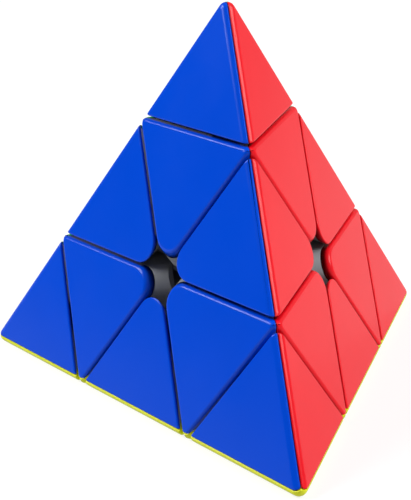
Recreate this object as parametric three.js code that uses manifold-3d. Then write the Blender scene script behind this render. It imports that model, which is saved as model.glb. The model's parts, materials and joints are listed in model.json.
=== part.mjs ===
// Pyramid twisty puzzle: four tips, four centre pieces and six edges turning on a ball core.
// Millimetres, +Z up. The origin is the middle of the core, where the four turning axes meet.
// A point's height along axis i is its dot product with AXIS[i]; the four heights add to zero.

import * as THREE from 'three';
import { ConvexGeometry } from 'three/addons/geometries/ConvexGeometry.js';
import { mergeVertices } from 'three/addons/utils/BufferGeometryUtils.js';
import Module from 'manifold-3d';

const wasm = await Module();
wasm.setup();

// ---- driving dimensions -------------------------------------------------------------------
const EDGE = 102;                  // edge of the pyramid before its corners are rounded
const HEIGHT = EDGE * Math.sqrt(2 / 3);
const FACE = HEIGHT / 4;           // middle of the core to each face
const LAYER_CUT = HEIGHT / 12;     // middle of the core to the cut under each layer
const TIP_CUT = 5 * HEIGHT / 12;   // middle of the core to the cut under each tip

const GAP = 0.7;                   // slot between neighbouring pieces
const SEAM = 0.2;                  // joint between the shells and the inside of one piece
const EDGE_ROUND = 1.7;            // radius along the pyramid's own edges
const HOLE_ROUND = 4.0;            // tile corners that meet in the middle of a face
const HOLE_DEPTH = 7.0;            // how far that rounding goes on under the face
const WALL = 1.7;                  // thickness of a coloured shell
const WRAP = 0.7;                  // share of a bottom edge's upper half that the bottom covers
const LIP_DEPTH = 4.0;             // deepest that a shell's lip round a pyramid edge can reach

const CORE_RADIUS = 10.2;
const TRACK_INNER = 10.5;          // spherical track that the edges' feet slide in
const TRACK_OUTER = 14.6;
const TRACK_CLEAR = 0.3;
const FOOT_ANGLE = 69;             // a foot stays inside this cone round each of its two axes
const STEM_ANGLE = 37.5;           // a centre piece's stem fills this cone
const STEM_CLEAR = 1.5;            // degrees between a stem and the feet round it

const CORE_HOLE = { radius: 1.8, bottom: 2.5 };
const SCREW = { shank: 1.5, bottom: 3.0, point: 1.0, head: 3.3, seat: 23.8, top: 26.4, bevel: 0.7 };
const SLOT = { length: 5.0, width: 0.9, depth: 1.2 };
const SPRING = { radius: 2.9, wire: 0.35, bottom: 17.3, top: 23.5, turns: 5 };
const POCKET = { radius: 4.4, bottom: 17.0, top: 31.9, shankHole: 1.9, tipHole: 3.5 };
// Round the screw's tube a centre piece is hollow: [radius, height] round the hollow's section.
const WELL = [[5.6, 17.0], [11.3, 17.0], [10.8, 22.0], [7.0, 33.0], [7.0, 36.0], [5.6, 36.0]];
const STEM = { shaft: 3.1, barb: 4.0, barbTop: 31.4, barbBottom: 29.6, nose: 28.0, noseRadius: 2.4 };

const ROUND_SIDES = 36;            // sides of the core ball and its track
const HUB_SIDES = 24;              // sides of hubs, shafts and pockets
const SCREW_SIDES = 16;            // sides of screws
const EDGE_STEPS = 10;             // flats across a rounded pyramid edge
const ARC_STEPS_PER_MM = 2;        // flats along a rounded tile corner, for each mm of radius
const COIL_STEPS = 10;             // straight lengths in one turn of a spring
const WIRE_STEPS = 3;              // sets how many sides the spring wire has

// ---- axes, colours and finishes -----------------------------------------------------------
const CORNERS = ['top', 'front', 'left', 'right'];
const AXIS = {
  top: new THREE.Vector3(0, 0, 1),
  front: new THREE.Vector3(0, -Math.sqrt(8) / 3, -1 / 3),
  left: new THREE.Vector3(-Math.sqrt(2 / 3), Math.sqrt(2) / 3, -1 / 3),
  right: new THREE.Vector3(Math.sqrt(2 / 3), Math.sqrt(2) / 3, -1 / 3),
};

// A face is named after the corner opposite to it.
const FACE_COLOUR = { top: 'yellow', front: 'green', left: 'red', right: 'blue' };

// The bottom face's shells wrap round its edges; the other faces' shells meet half-way.
const WRAPPING_FACE = 'top';

const plastic = (colour, roughness) => new THREE.MeshStandardMaterial({
  color: colour, roughness, metalness: 0,
});
const steel = (colour, roughness) => new THREE.MeshStandardMaterial({
  color: colour, roughness, metalness: 1,
});
const FINISH = {
  blue: plastic(0x0a46d2, 0.35),
  red: plastic(0xe8141c, 0.35),
  green: plastic(0x0f9a3c, 0.35),
  yellow: plastic(0xe2e61e, 0.35),
  inner: plastic(0x6f7276, 0.4),
  core: plastic(0x54575b, 0.4),
  screw: steel(0xb9bcc0, 0.3),
  spring: steel(0xc6c8cb, 0.25),
};

// ---- solids -------------------------------------------------------------------------------
function solid(geometry) {
  const bare = geometry.clone();
  bare.deleteAttribute('normal');
  bare.deleteAttribute('uv');
  const merged = mergeVertices(bare, 1e-4);
  const mesh = new wasm.Mesh({
    numProp: 3,
    vertProperties: Float32Array.from(merged.attributes.position.array),
    triVerts: Uint32Array.from(merged.index.array),
  });
  mesh.merge();
  return new wasm.Manifold(mesh);
}

function geometryOf(manifold) {
  const mesh = manifold.getMesh();
  const geometry = new THREE.BufferGeometry();
  geometry.setAttribute('position', new THREE.BufferAttribute(mesh.vertProperties, 3));
  geometry.setIndex(new THREE.BufferAttribute(mesh.triVerts, 1));
  geometry.computeVertexNormals();
  return geometry;
}

const hull = (points) => solid(new ConvexGeometry(points));

// A half-space { normal . x <= offset }, and the ones that the pyramid is cut along.
const halfSpace = (normal, offset) => ({ normal, offset });
const below = (corner, height) => halfSpace(AXIS[corner], height);
const above = (corner, height) => halfSpace(AXIS[corner].clone().negate(), -height);
const underFace = (corner, depth) => above(corner, depth - FACE);

// The side of face `mine` of the plane that halves its edge with face `other`, and `beyond` it.
function halfWay(mine, other, beyond) {
  return halfSpace(AXIS[mine].clone().sub(AXIS[other]).normalize(), beyond);
}

function meet(a, b, c) {
  const matrix = new THREE.Matrix3().set(
    a.normal.x, a.normal.y, a.normal.z,
    b.normal.x, b.normal.y, b.normal.z,
    c.normal.x, c.normal.y, c.normal.z,
  );
  if (Math.abs(matrix.determinant()) < 1e-6) return null;
  return new THREE.Vector3(a.offset, b.offset, c.offset).applyMatrix3(matrix.invert());
}

// What is left of a solid inside one half-space.
const trim = (body, side) => body.trimByPlane(side.normal.clone().negate().toArray(), -side.offset);

// The convex solid inside every half-space of a list.
function block(sides) {
  const points = [];
  for (let i = 0; i < sides.length; i += 1) {
    for (let j = i + 1; j < sides.length; j += 1) {
      for (let k = j + 1; k < sides.length; k += 1) {
        const point = meet(sides[i], sides[j], sides[k]);
        const inside = point && sides.every((s) => s.normal.dot(point) < s.offset + 1e-6);
        if (inside) points.push(point);
      }
    }
  }
  return hull(points);
}

// The polygon that `sides`, in order round it, cut out of the level `depth` under a face.
// Corner m lies between side m and side m + 1 and is rounded to radii[m].
function outline(face, depth, sides, radii) {
  const level = halfSpace(AXIS[face].clone().negate(), FACE - depth);
  const count = sides.length;
  const corners = sides.map((side, m) => meet(level, side, sides[(m + 1) % count]));
  return corners.flatMap((corner, m) => {
    if (radii[m] < 0.05) return [corner];
    const back = corners[(m + count - 1) % count].clone().sub(corner).normalize();
    const ahead = corners[(m + 1) % count].clone().sub(corner).normalize();
    return arc(corner, back, ahead, radii[m]);
  });
}

// Points on the arc of a radius that touches both lines leaving a corner.
function arc(corner, back, ahead, radius) {
  const half = back.angleTo(ahead) / 2;
  const inward = back.clone().add(ahead).normalize();
  const across = ahead.clone().sub(back).normalize();
  const centre = corner.clone().addScaledVector(inward, radius / Math.sin(half));
  const sweep = Math.PI / 2 - half;
  const steps = Math.ceil(ARC_STEPS_PER_MM * radius);
  const points = [];
  for (let step = 0; step <= steps; step += 1) {
    const angle = sweep * (2 * step / steps - 1);
    points.push(centre.clone()
      .addScaledVector(inward, -radius * Math.cos(angle))
      .addScaledVector(across, radius * Math.sin(angle)));
  }
  return points;
}

// A prism under a face whose sides follow the cuts, from depth `from` to depth `to`.
function prism(face, from, to, sides, radii) {
  return hull([
    ...outline(face, from, sides, radii),
    ...outline(face, to, sides, radii),
  ]);
}

// Unit vectors spread over the triangle between three directions on a sphere.
function spread(a, b, c, steps) {
  const slerp = (p, q, t) => {
    const angle = p.angleTo(q);
    return p.clone().multiplyScalar(Math.sin((1 - t) * angle) / Math.sin(angle))
      .addScaledVector(q, Math.sin(t * angle) / Math.sin(angle));
  };
  const points = [a.clone()];
  for (let row = 1; row <= steps; row += 1) {
    const left = slerp(a, b, row / steps);
    const right = slerp(a, c, row / steps);
    for (let step = 0; step <= row; step += 1) points.push(slerp(left, right, step / row));
  }
  return points;
}

// The whole pyramid with its edges and corners rounded.
function roundedPyramid() {
  const points = [];
  for (const corner of CORNERS) {
    const middle = AXIS[corner].clone().multiplyScalar(3 * (FACE - EDGE_ROUND));
    const [a, b, c] = CORNERS.filter((other) => other !== corner)
      .map((other) => AXIS[other].clone().negate());
    for (const direction of spread(a, b, c, EDGE_STEPS)) {
      points.push(middle.clone().addScaledVector(direction, EDGE_ROUND));
    }
  }
  return hull(points);
}

// A solid turned round the top axis from a profile of [radius, height] pairs.
function turned(profile, sides) {
  const points = profile.map(([radius, height]) => new THREE.Vector2(radius, height));
  const geometry = new THREE.LatheGeometry(points, sides);
  geometry.rotateX(Math.PI / 2);
  return solid(geometry);
}

function cylinder(radius, bottom, top, sides) {
  return turned([[0, bottom], [radius, bottom], [radius, top], [0, top]], sides);
}

function ball(radius) {
  return solid(new THREE.SphereGeometry(radius, ROUND_SIDES, ROUND_SIDES / 2));
}

// Everything within `angle` degrees of an axis, out to `reach`.
function cone(corner, angle, reach) {
  const radius = reach * Math.tan(THREE.MathUtils.degToRad(angle));
  const points = [new THREE.Vector2(0, 0), new THREE.Vector2(radius, reach), new THREE.Vector2(0, reach)];
  const geometry = new THREE.LatheGeometry(points, ROUND_SIDES);
  geometry.rotateX(Math.PI / 2);
  geometry.applyQuaternion(new THREE.Quaternion().setFromUnitVectors(AXIS.top, AXIS[corner]));
  return solid(geometry);
}

// ---- the parts, each made once: at the top corner, on its right-hand face or front edge ----
const pyramid = roundedPyramid();
const INNER = WALL + SEAM;         // depth under a face where the inside of a piece begins
const TIP_BASE = TIP_CUT + GAP / 2;
const CENTRE_TOP = TIP_CUT - GAP / 2;
const LAYER_BASE = LAYER_CUT + GAP / 2;
const CENTRE_SIDE = LAYER_CUT - GAP / 2;
const SIDE_CORNERS = ['left', 'front', 'right'];
const OVERLAP = 0.5;               // how far joined solids run into each other

// Where a shell ends on a rounded edge. With reach 0 it ends half-way, with 1 where the rounding
// runs out on the other face, and with -1 where it runs out on the shell's own face.
function seam(mine, other, reach) {
  return halfWay(mine, other, reach * EDGE_ROUND * Math.sqrt(2 / 3) - SEAM / 2);
}

// Everything over the core's level that is deeper than `depth` under each of the three sides.
function underSides(depth, floor = 0) {
  return block([above('top', floor), ...SIDE_CORNERS.map((corner) => underFace(corner, depth))]);
}

function tipShell(reachLeft, reachFront) {
  const sides = [
    above('top', TIP_BASE),
    seam('right', 'left', reachLeft),
    seam('right', 'front', reachFront),
  ];
  const tile = prism('right', 0, LIP_DEPTH, sides, [0, 0, 0]);
  return tile.intersect(pyramid).subtract(underSides(WALL));
}

// The sides of a centre piece round face `face`, and its walls there down to a depth.
function centrePrism(face, from, to) {
  const [a, b] = SIDE_CORNERS.filter((corner) => corner !== face);
  const sides = [below('top', CENTRE_TOP), below(a, CENTRE_SIDE), below(b, CENTRE_SIDE)];
  return prism(face, from, to, sides, [0, HOLE_ROUND, 0]);
}

function centreShell(reachLeft, reachFront) {
  const limits = [
    above('top', LAYER_BASE),
    seam('right', 'left', reachLeft),
    seam('right', 'front', reachFront),
  ];
  const tile = limits.reduce(trim, centrePrism('right', 0, LIP_DEPTH));
  return tile.intersect(pyramid).subtract(underSides(WALL));
}

function edgePrism(face, from, to, side) {
  const sides = [above('top', LAYER_BASE), above('front', LAYER_BASE), side];
  return prism(face, from, to, sides, [HOLE_ROUND, 0, 0]);
}

function edgeInside(depth) {
  return block([
    above('top', LAYER_BASE), above('front', LAYER_BASE),
    underFace('right', depth), underFace('left', depth),
  ]);
}

function edgeShell(reachLeft) {
  const tile = edgePrism('right', 0, LIP_DEPTH, seam('right', 'left', reachLeft));
  const room = block([
    above('top', 0), above('front', 0), underFace('right', WALL), underFace('left', WALL),
  ]);
  return tile.intersect(pyramid).subtract(room);
}

// A tip's inside: a block under its shells, and a barbed shaft into the centre piece.
function tipStem() {
  const shaft = turned([
    [0, STEM.nose], [STEM.noseRadius, STEM.nose], [STEM.barb, STEM.barbBottom],
    [STEM.barb, STEM.barbTop], [STEM.shaft, STEM.barbTop], [STEM.shaft, TIP_BASE + OVERLAP],
    [0, TIP_BASE + OVERLAP],
  ], HUB_SIDES);
  return underSides(INNER, TIP_BASE).add(shaft);
}

// A centre piece's inside: a bowl with the screw's tube, and a stem down to the core ball.
function centreFrame() {
  const middle = block([
    below('top', CENTRE_TOP), above('top', LAYER_BASE),
    ...SIDE_CORNERS.map((corner) => below(corner, CENTRE_SIDE)),
    ...SIDE_CORNERS.map((corner) => underFace(corner, HOLE_DEPTH)),
  ]);
  const walls = SIDE_CORNERS.map((face) => centrePrism(face, INNER, HOLE_DEPTH + OVERLAP));
  const bowl = walls.reduce((whole, wall) => whole.add(wall), middle)
    .intersect(underSides(INNER, LAYER_BASE));
  const stem = cone('top', STEM_ANGLE, TRACK_OUTER)
    .intersect(ball(TRACK_OUTER + 2 * TRACK_CLEAR));
  const bore = turned([
    [0, CORE_HOLE.bottom], [POCKET.shankHole, CORE_HOLE.bottom], [POCKET.shankHole, POCKET.bottom],
    [POCKET.radius, POCKET.bottom], [POCKET.radius, POCKET.top],
    [POCKET.tipHole, POCKET.top], [POCKET.tipHole, HEIGHT], [0, HEIGHT],
  ], HUB_SIDES);
  return bowl.subtract(turned([...WELL, WELL[0]], HUB_SIDES))
    .subtract(ball(TRACK_OUTER + TRACK_CLEAR))
    .add(stem.subtract(ball(TRACK_INNER)))
    .subtract(bore);
}

// An edge's inside: a wedge under its shells, and a foot that slides in the track.
function edgeFoot() {
  const walls = [['right', 'left'], ['left', 'right']].map(([face, other]) => (
    edgePrism(face, INNER, HOLE_DEPTH + OVERLAP, halfWay(face, other, OVERLAP))
  ));
  const wedge = walls[0].add(walls[1]).add(edgeInside(HOLE_DEPTH)).intersect(edgeInside(INNER));
  const reach = 4 * TRACK_OUTER;
  const foot = ball(TRACK_OUTER).subtract(ball(TRACK_INNER))
    .intersect(cone('top', FOOT_ANGLE, reach))
    .intersect(cone('front', FOOT_ANGLE, reach))
    .subtract(cone('top', STEM_ANGLE + STEM_CLEAR, reach))
    .subtract(cone('front', STEM_ANGLE + STEM_CLEAR, reach));
  return wedge.add(foot);
}

function coreBall() {
  const hole = cylinder(CORE_HOLE.radius, CORE_HOLE.bottom, 2 * CORE_RADIUS, SCREW_SIDES);
  return CORNERS.reduce((rest, corner) => {
    const place = new THREE.Matrix4().makeRotationFromQuaternion(turnTo(corner));
    return rest.subtract(hole.transform(place.elements));
  }, ball(CORE_RADIUS));
}

function screw() {
  const body = turned([
    [0, SCREW.bottom], [SCREW.shank, SCREW.bottom + SCREW.point], [SCREW.shank, SCREW.seat],
    [SCREW.head, SCREW.seat], [SCREW.head, SCREW.top - SCREW.bevel],
    [SCREW.head - SCREW.bevel, SCREW.top], [0, SCREW.top],
  ], SCREW_SIDES);
  const slot = new THREE.BoxGeometry(SLOT.length, SLOT.width, 2 * SLOT.depth);
  slot.translate(0, 0, SCREW.top);
  const cross = slot.clone().rotateZ(Math.PI / 2);
  return body.subtract(solid(slot)).subtract(solid(cross));
}

class Helix extends THREE.Curve {
  getPoint(t, target = new THREE.Vector3()) {
    const angle = 2 * Math.PI * SPRING.turns * t;
    const bottom = SPRING.bottom + SPRING.wire;
    const rise = SPRING.top - SPRING.bottom - 2 * SPRING.wire;
    return target.set(SPRING.radius * Math.cos(angle), SPRING.radius * Math.sin(angle), bottom + rise * t);
  }
}

function spring() {
  const section = new THREE.Shape().absarc(0, 0, SPRING.wire, 0, 2 * Math.PI);
  const geometry = new THREE.ExtrudeGeometry(section, {
    extrudePath: new Helix(), steps: COIL_STEPS * SPRING.turns, curveSegments: WIRE_STEPS,
    bevelEnabled: false,
  });
  return solid(geometry);
}

// ---- assembly -----------------------------------------------------------------------------
// The turn that carries the top corner to `corner` and the front corner to `next`.
function turnTo(corner, next = corner === 'top' ? 'front' : 'top') {
  const basis = (a, b) => {
    const x = a.clone();
    const z = a.clone().cross(b).normalize();
    return new THREE.Matrix4().makeBasis(x, z.clone().cross(x), z);
  };
  const from = basis(AXIS.top, AXIS.front).invert();
  return new THREE.Quaternion().setFromRotationMatrix(basis(AXIS[corner], AXIS[next]).multiply(from));
}

// The face that a part made on face `face` lies on after a turn.
function faceAfter(turn, face) {
  const normal = AXIS[face].clone().applyQuaternion(turn);
  return CORNERS.find((corner) => AXIS[corner].distanceTo(normal) < 0.1);
}

const INSIDE = {
  tip: geometryOf(tipStem()),
  centre: geometryOf(centreFrame()),
  edge: geometryOf(edgeFoot()),
  core: geometryOf(coreBall()),
  screw: geometryOf(screw()),
  spring: geometryOf(spring()),
};

function part(name, geometry, finish) {
  const mesh = new THREE.Mesh(geometry, FINISH[finish]);
  mesh.name = name;
  return mesh;
}

// Shells differ only in how far they reach round their edges, so each kind is made once.
const shells = new Map();
function shellGeometry(make, reaches) {
  const key = `${make.name} ${reaches}`;
  if (!shells.has(key)) shells.set(key, geometryOf(make(...reaches)));
  return shells.get(key);
}

// A group turned into its place, holding one shell for each spin and the piece's inside.
function shelledPiece(name, place, spins, makeShell, inside) {
  const group = new THREE.Group();
  group.quaternion.copy(place);
  for (const spin of spins) {
    const turn = place.clone().multiply(spin);
    const wraps = (face) => Number(faceAfter(turn, face) === WRAPPING_FACE);
    const reaches = ['left', 'front'].map((other) => WRAP * (wraps('right') - wraps(other)));
    const colour = FACE_COLOUR[faceAfter(turn, 'right')];
    const shell = part(`${name}_${colour}_shell`, shellGeometry(makeShell, reaches), colour);
    shell.quaternion.copy(spin);
    group.add(shell);
  }
  group.add(inside);
  return group;
}

const THIRDS = [0, 1, 2].map((n) => (
  new THREE.Quaternion().setFromAxisAngle(AXIS.top, 2 * Math.PI * n / 3)
));
const HALVES = [
  new THREE.Quaternion(),
  new THREE.Quaternion().setFromAxisAngle(AXIS.top.clone().add(AXIS.front).normalize(), Math.PI),
];

const puzzle = new THREE.Group();
puzzle.add(part('core', INSIDE.core, 'core'));

for (const corner of CORNERS) {
  const place = turnTo(corner);
  const stem = part(`${corner}_tip_stem`, INSIDE.tip, 'inner');
  puzzle.add(shelledPiece(`${corner}_tip`, place, THIRDS, tipShell, stem));
  const frame = part(`${corner}_centre_frame`, INSIDE.centre, 'inner');
  const centre = shelledPiece(`${corner}_centre`, place, THIRDS, centreShell, frame);
  centre.add(part(`${corner}_screw`, INSIDE.screw, 'screw'));
  centre.add(part(`${corner}_spring`, INSIDE.spring, 'spring'));
  puzzle.add(centre);
}

CORNERS.forEach((first, n) => {
  for (const second of CORNERS.slice(n + 1)) {
    const name = `edge_${first}_${second}`;
    const foot = part(`${name}_foot`, INSIDE.edge, 'inner');
    puzzle.add(shelledPiece(name, turnTo(first, second), HALVES, edgeShell, foot));
  }
});

export default puzzle;
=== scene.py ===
"""Pyramid twisty puzzle: the CAD shells with filleted rims and moulded-plastic materials."""
import json
import math

import bpy
from mathutils import Matrix, Vector


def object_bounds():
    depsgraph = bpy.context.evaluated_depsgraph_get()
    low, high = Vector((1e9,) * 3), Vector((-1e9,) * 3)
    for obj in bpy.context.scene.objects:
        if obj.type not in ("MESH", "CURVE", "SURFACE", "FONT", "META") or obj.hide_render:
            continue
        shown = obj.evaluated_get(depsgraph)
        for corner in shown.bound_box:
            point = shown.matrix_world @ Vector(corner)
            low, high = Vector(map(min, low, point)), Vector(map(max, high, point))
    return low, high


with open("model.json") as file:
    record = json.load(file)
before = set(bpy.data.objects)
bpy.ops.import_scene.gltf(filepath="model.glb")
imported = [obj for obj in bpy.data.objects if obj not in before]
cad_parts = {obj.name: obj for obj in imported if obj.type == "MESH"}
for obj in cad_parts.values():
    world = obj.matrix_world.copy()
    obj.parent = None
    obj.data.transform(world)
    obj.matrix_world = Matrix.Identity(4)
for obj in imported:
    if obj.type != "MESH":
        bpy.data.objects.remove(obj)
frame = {"nodes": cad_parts, "record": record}
CAD_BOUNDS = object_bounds()

MM = 0.001

# Camera: the angle the object is seen from, and where the lens points.
AZIMUTH = -10.92
ELEVATION = 21.07
ROLL = -1.56
DISTANCE = 300 * MM
LOOK_AT = Vector((-4.2, 7.2, 4.5)) * MM
LENS = 100.6               # millimetres
SENSOR = 36                # millimetres
NEAREST_SEEN = 10 * MM

# Fillets on the CAD pieces. Angles are in degrees.
TILE_FILLET = 0.55 * MM
TILE_STEPS = 4
INNER_FILLET = 0.30 * MM
INNER_STEPS = 2
WELD_DISTANCE = 0.001 * MM
FLAT_ANGLE = 0.6           # faces that meet at less than this are joined
SHARP_ANGLE = 33           # an edge that turns by more gets a fillet

# Which sharp edges of a shell are its outer rim. Depths are measured inwards from a face.
ON_FACE = 0.05 * MM        # an edge no deeper than this lies on the face
ACROSS = 0.01 * MM         # an edge whose depth changes by more than this crosses the rounding
OUTER_DEPTH = 0.95 * MM    # no edge of the outer rim reaches deeper than this
CORNER_START = 56.5 * MM   # past here along an axis lies a rounded corner, which stays as it is

# The four axes from the middle of the core to the tips, and its distance to each face.
AXES = [Vector(joint["axis"]) for joint in frame["record"]["behaviour"]["joints"]
        if joint["name"].endswith("_layer_turn")]
FACE = next(-mount["pos_m"][2] for mount in frame["record"]["mounts"] if mount["name"] == "bottom_face")

# The white floor: how far it lies under the object, and how bright it is, as the camera sees it
# and as the object reflects it.
FLOOR_GAP = 0.02 * MM
FLOOR_HALF = 4000 * MM
FLOOR_IN_VIEW = 0.78
FLOOR_IN_REFLECTIONS = 0.40

# The two softboxes, as (direction, brightness), both at one distance and of one size.
SOFTBOX_DISTANCE = 1000 * MM
SOFTBOX_SIZE = 600 * MM
SOFTBOXES = {
    "left_softbox": ((-0.72, 0.20, 0.66), 1.02),
    "right_softbox": ((0.70, -0.30, 0.65), 0.73),
}

# Material slots: each plastic as (colour, roughness, shine), each steel as (colour, roughness).
PLASTICS = {
    "blue_plastic": ((0.0, 0.070, 0.70), 0.20, 0.27),
    "red_plastic": ((0.92, 0.006, 0.016), 0.20, 0.27),
    "green_plastic": ((0.006, 0.36, 0.07), 0.20, 0.27),
    "yellow_plastic": ((0.80, 0.84, 0.02), 0.20, 0.27),
    "inner_plastic": ((0.30, 0.31, 0.33), 0.34, 0.9),
    "core_plastic": ((0.10, 0.105, 0.11), 0.30, 0.5),
}
STEELS = {
    "screw_steel": ((0.62, 0.63, 0.65), 0.30),
    "spring_steel": ((0.70, 0.70, 0.72), 0.22),
}


# ---- materials ---------------------------------------------------------------------------

def new_material(name):
    material = bpy.data.materials.new(name)
    material.use_nodes = True
    tree = material.node_tree
    tree.nodes.clear()
    output = tree.nodes.new("ShaderNodeOutputMaterial")
    shader = tree.nodes.new("ShaderNodeBsdfPrincipled")
    tree.links.new(shader.outputs["BSDF"], output.inputs["Surface"])
    return material, tree, shader


def noise(tree, scale, detail=3.0):
    """Noise in object space; scale counts features per metre."""
    place = tree.nodes.new("ShaderNodeTexCoord")
    texture = tree.nodes.new("ShaderNodeTexNoise")
    texture.inputs["Scale"].default_value = scale
    texture.inputs["Detail"].default_value = detail
    tree.links.new(place.outputs["Object"], texture.inputs["Vector"])
    return texture.outputs["Fac"]


def spread(tree, value, low, high):
    """Maps the middle of a noise to a range."""
    ramp = tree.nodes.new("ShaderNodeMapRange")
    ramp.inputs["From Min"].default_value = 0.3
    ramp.inputs["From Max"].default_value = 0.7
    ramp.inputs["To Min"].default_value = low
    ramp.inputs["To Max"].default_value = high
    tree.links.new(value, ramp.inputs["Value"])
    return ramp.outputs["Result"]


def bump(tree, shader, layers):
    """Stacks bumps of (height, depth in metres) on a shader's normal."""
    last = None
    for height, depth in layers:
        node = tree.nodes.new("ShaderNodeBump")
        node.inputs["Strength"].default_value = 1.0
        node.inputs["Distance"].default_value = depth
        tree.links.new(height, node.inputs["Height"])
        if last is not None:
            tree.links.new(last, node.inputs["Normal"])
        last = node.outputs["Normal"]
    tree.links.new(last, shader.inputs["Normal"])


def tinted(tree, colour, amount, scale):
    """A colour with slow, slight lightness variation."""
    mix = tree.nodes.new("ShaderNodeMix")
    mix.data_type = "RGBA"
    mix.inputs["A"].default_value = (*[c * (1 - amount) for c in colour], 1)
    mix.inputs["B"].default_value = (*[min(1, c * (1 + amount)) for c in colour], 1)
    tree.links.new(spread(tree, noise(tree, scale), 0, 1), mix.inputs["Factor"])
    return mix.outputs["Result"]


def moulded_plastic(name, colour, roughness, shine):
    """Smooth plastic with a faint mould texture and an uneven gloss; shine is its specular level."""
    material, tree, shader = new_material(name)
    tree.links.new(tinted(tree, colour, 0.02, 40), shader.inputs["Base Color"])
    gloss = spread(tree, noise(tree, 120, 3), roughness - 0.02, roughness + 0.03)
    tree.links.new(gloss, shader.inputs["Roughness"])
    shader.inputs["IOR"].default_value = 1.42
    shader.inputs["Specular IOR Level"].default_value = shine
    bump(tree, shader, [(noise(tree, 60, 2), 0.04 * MM), (noise(tree, 3000, 2), 0.0004 * MM)])
    return material


def steel(name, colour, roughness):
    """Plated or drawn steel with fine scratches in its gloss."""
    material, tree, shader = new_material(name)
    tree.links.new(tinted(tree, colour, 0.08, 900), shader.inputs["Base Color"])
    shader.inputs["Metallic"].default_value = 1.0
    gloss = spread(tree, noise(tree, 2500, 4), roughness - 0.08, roughness + 0.10)
    tree.links.new(gloss, shader.inputs["Roughness"])
    bump(tree, shader, [(noise(tree, 6000, 3), 0.003 * MM)])
    return material


MATERIALS = {name: moulded_plastic(name, *look) for name, look in PLASTICS.items()}
MATERIALS.update({name: steel(name, *look) for name, look in STEELS.items()})

# ---- fillets and materials on the CAD nodes ------------------------------------------------


def geometry_group(name):
    """An empty group of geometry nodes, with its first and last node."""
    group = bpy.data.node_groups.new(name, "GeometryNodeTree")
    group.interface.new_socket("Geometry", in_out="INPUT", socket_type="NodeSocketGeometry")
    group.interface.new_socket("Geometry", in_out="OUTPUT", socket_type="NodeSocketGeometry")
    return group, group.nodes.new("NodeGroupInput"), group.nodes.new("NodeGroupOutput")


def smooth_group():
    """Geometry nodes that shade a mesh smooth."""
    group, start, end = geometry_group("smooth_shading")
    smooth = group.nodes.new("GeometryNodeSetShadeSmooth")
    group.links.new(start.outputs[0], smooth.inputs["Geometry"])
    group.links.new(smooth.outputs[0], end.inputs[0])
    return group


def math_node(group, operation, first, second):
    """A math node on two values, each a socket or a number."""
    node = group.nodes.new("ShaderNodeMath")
    node.operation = operation
    for socket, value in zip(node.inputs, (first, second)):
        if isinstance(value, (int, float)):
            socket.default_value = value
        else:
            group.links.new(value, socket)
    return node.outputs["Value"]


def farthest_along(group, position, directions):
    """How far a position lies from the core along the direction in which it lies farthest."""
    farthest = 0
    for direction in directions:
        along = group.nodes.new("ShaderNodeVectorMath")
        along.operation = "DOT_PRODUCT"
        along.inputs[1].default_value = direction
        group.links.new(position, along.inputs[0])
        farthest = math_node(group, "MAXIMUM", farthest, along.outputs["Value"])
    return farthest


def depth_under_faces(group, position):
    """How far a position lies under the nearest of the pyramid's four faces."""
    return math_node(group, "SUBTRACT", FACE, farthest_along(group, position, [-axis for axis in AXES]))


def rim_group():
    """Geometry nodes that mark a shell's outer rim for the fillet, but not its seams."""
    group, start, end = geometry_group("rim_weights")
    ends = group.nodes.new("GeometryNodeInputMeshEdgeVertices")
    first = depth_under_faces(group, ends.outputs["Position 1"])
    second = depth_under_faces(group, ends.outputs["Position 2"])
    deepest = math_node(group, "MAXIMUM", first, second)
    change = math_node(group, "ABSOLUTE", math_node(group, "SUBTRACT", first, second), 0)
    on_face = math_node(group, "LESS_THAN", deepest, ON_FACE)
    across = math_node(group, "GREATER_THAN", change, ACROSS)
    shallow = math_node(group, "LESS_THAN", deepest, OUTER_DEPTH)
    corner = math_node(group, "MAXIMUM", farthest_along(group, ends.outputs["Position 1"], AXES),
                       farthest_along(group, ends.outputs["Position 2"], AXES))
    clear = math_node(group, "LESS_THAN", corner, CORNER_START)
    on_rounding = math_node(group, "MULTIPLY", across, math_node(group, "MULTIPLY", shallow, clear))
    angle = group.nodes.new("GeometryNodeInputMeshEdgeAngle")
    sharp = math_node(group, "GREATER_THAN", angle.outputs["Unsigned Angle"], math.radians(SHARP_ANGLE))
    weight = math_node(group, "MULTIPLY", sharp, math_node(group, "MAXIMUM", on_face, on_rounding))
    store = group.nodes.new("GeometryNodeStoreNamedAttribute")
    store.data_type = "FLOAT"
    store.domain = "EDGE"
    store.inputs["Name"].default_value = "bevel_weight_edge"
    group.links.new(start.outputs[0], store.inputs["Geometry"])
    group.links.new(weight, store.inputs["Value"])
    group.links.new(store.outputs["Geometry"], end.inputs[0])
    return group


SMOOTH = smooth_group()
RIM = rim_group()


def nodes_modifier(node, group):
    """Runs a group of geometry nodes on a piece."""
    modifier = node.modifiers.new(group.name, "NODES")
    modifier.node_group = group


def fillet(node, radius, segments, rim_only):
    """Rounds a piece's edges: only the outer rim of a shell, or every sharp edge."""
    weld = node.modifiers.new("weld", "WELD")
    weld.merge_threshold = WELD_DISTANCE
    merge = node.modifiers.new("merge_flats", "DECIMATE")
    merge.decimate_type = "DISSOLVE"
    merge.angle_limit = math.radians(FLAT_ANGLE)
    if rim_only:
        nodes_modifier(node, RIM)
    rounding = node.modifiers.new("fillet", "BEVEL")
    rounding.width = radius
    rounding.segments = segments
    rounding.limit_method = "WEIGHT" if rim_only else "ANGLE"
    rounding.angle_limit = math.radians(SHARP_ANGLE)
    rounding.use_clamp_overlap = not rim_only
    rounding.miter_outer = "MITER_ARC"
    nodes_modifier(node, SMOOTH)
    normals = node.modifiers.new("flat_faces_lead", "WEIGHTED_NORMAL")
    normals.mode = "FACE_AREA"
    normals.weight = 100


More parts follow.
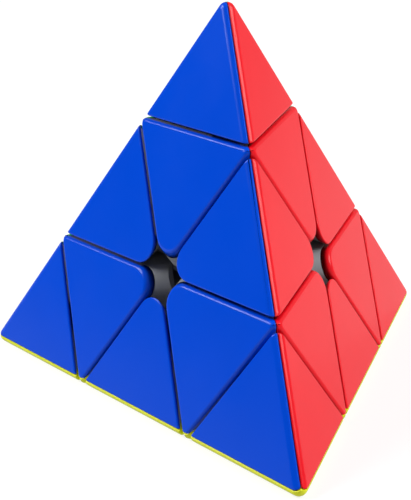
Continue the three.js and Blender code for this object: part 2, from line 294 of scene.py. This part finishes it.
for part in frame["record"]["subparts"]:
    obj = frame["nodes"][part["node"]]
    obj.data.materials.clear()
    obj.data.materials.append(MATERIALS[part["material_slot"]])
    if part["node"].endswith("_shell"):
        fillet(obj, TILE_FILLET, TILE_STEPS, rim_only=True)
    elif part["node"].endswith(("_foot", "_frame", "_stem")):
        fillet(obj, INNER_FILLET, INNER_STEPS, rim_only=False)

# ---- floor, light and camera ---------------------------------------------------------------


def floor():
    """A white floor just under the object's lowest point."""
    mesh = bpy.data.meshes.new("floor")
    z = CAD_BOUNDS[0].z - FLOOR_GAP
    corners = [(x * FLOOR_HALF, y * FLOOR_HALF, z) for x, y in ((-1, -1), (1, -1), (1, 1), (-1, 1))]
    mesh.from_pydata(corners, [], [(0, 1, 2, 3)])
    obj = bpy.data.objects.new("floor", mesh)
    bpy.context.scene.collection.objects.link(obj)
    material, tree, shader = new_material("floor_white")
    shader.inputs["Base Color"].default_value = (0.25, 0.25, 0.25, 1)
    shader.inputs["Roughness"].default_value = 0.9
    shader.inputs["Emission Color"].default_value = (1, 1, 1, 1)
    rays = tree.nodes.new("ShaderNodeLightPath")
    glow = tree.nodes.new("ShaderNodeMapRange")
    glow.inputs["To Min"].default_value = FLOOR_IN_REFLECTIONS
    glow.inputs["To Max"].default_value = FLOOR_IN_VIEW
    tree.links.new(rays.outputs["Is Camera Ray"], glow.inputs["Value"])
    tree.links.new(glow.outputs["Result"], shader.inputs["Emission Strength"])
    mesh.materials.append(material)


def softbox(name, direction, brightness):
    """A round light aimed at the origin; brightness is what white facing it would show."""
    light = bpy.data.lights.new(name, "AREA")
    light.shape = "DISK"
    light.size = SOFTBOX_SIZE
    light.energy = brightness * (math.pi * SOFTBOX_DISTANCE) ** 2
    obj = bpy.data.objects.new(name, light)
    away = Vector(direction).normalized()
    obj.location = away * SOFTBOX_DISTANCE
    obj.rotation_euler = away.to_track_quat("Z", "Y").to_euler()
    bpy.context.scene.collection.objects.link(obj)


def studio_world():
    """White to the camera; to the object, dim on its left and brighter on its right."""
    world = bpy.data.worlds.new("studio")
    world.use_nodes = True
    tree = world.node_tree
    tree.nodes.clear()
    direction = tree.nodes.new("ShaderNodeTexCoord")
    split = tree.nodes.new("ShaderNodeSeparateXYZ")
    side = tree.nodes.new("ShaderNodeMapRange")
    side.interpolation_type = "SMOOTHSTEP"
    for socket, value in (("From Min", -0.9), ("From Max", 0.9), ("To Min", 0.02), ("To Max", 0.50)):
        side.inputs[socket].default_value = value
    room = tree.nodes.new("ShaderNodeBackground")
    backdrop = tree.nodes.new("ShaderNodeBackground")
    backdrop.inputs["Color"].default_value = (1, 1, 1, 1)
    rays = tree.nodes.new("ShaderNodeLightPath")
    mix = tree.nodes.new("ShaderNodeMixShader")
    output = tree.nodes.new("ShaderNodeOutputWorld")
    tree.links.new(direction.outputs["Generated"], split.inputs["Vector"])
    tree.links.new(split.outputs["X"], side.inputs["Value"])
    tree.links.new(side.outputs["Result"], room.inputs["Strength"])
    tree.links.new(rays.outputs["Is Camera Ray"], mix.inputs["Fac"])
    tree.links.new(room.outputs["Background"], mix.inputs[1])
    tree.links.new(backdrop.outputs["Background"], mix.inputs[2])
    tree.links.new(mix.outputs["Shader"], output.inputs["Surface"])
    bpy.context.scene.world = world


def studio():
    studio_world()
    for name, (direction, brightness) in SOFTBOXES.items():
        softbox(name, direction, brightness)
    bpy.context.scene.view_settings.view_transform = "Standard"


def camera():
    azimuth, elevation = math.radians(AZIMUTH), math.radians(ELEVATION)
    back = Vector((
        math.sin(azimuth) * math.cos(elevation),
        -math.cos(azimuth) * math.cos(elevation),
        math.sin(elevation),
    ))
    data = bpy.data.cameras.new("camera")
    data.lens = LENS
    data.sensor_width = SENSOR
    data.clip_start = NEAREST_SEEN
    obj = bpy.data.objects.new("camera", data)
    turn = (-back).to_track_quat("-Z", "Y").to_matrix().to_4x4()
    roll = Matrix.Rotation(math.radians(ROLL), 4, "Z")
    obj.matrix_world = Matrix.Translation(LOOK_AT + back * DISTANCE) @ turn @ roll
    bpy.context.scene.collection.objects.link(obj)
    bpy.context.scene.camera = obj


floor()
studio()
camera()
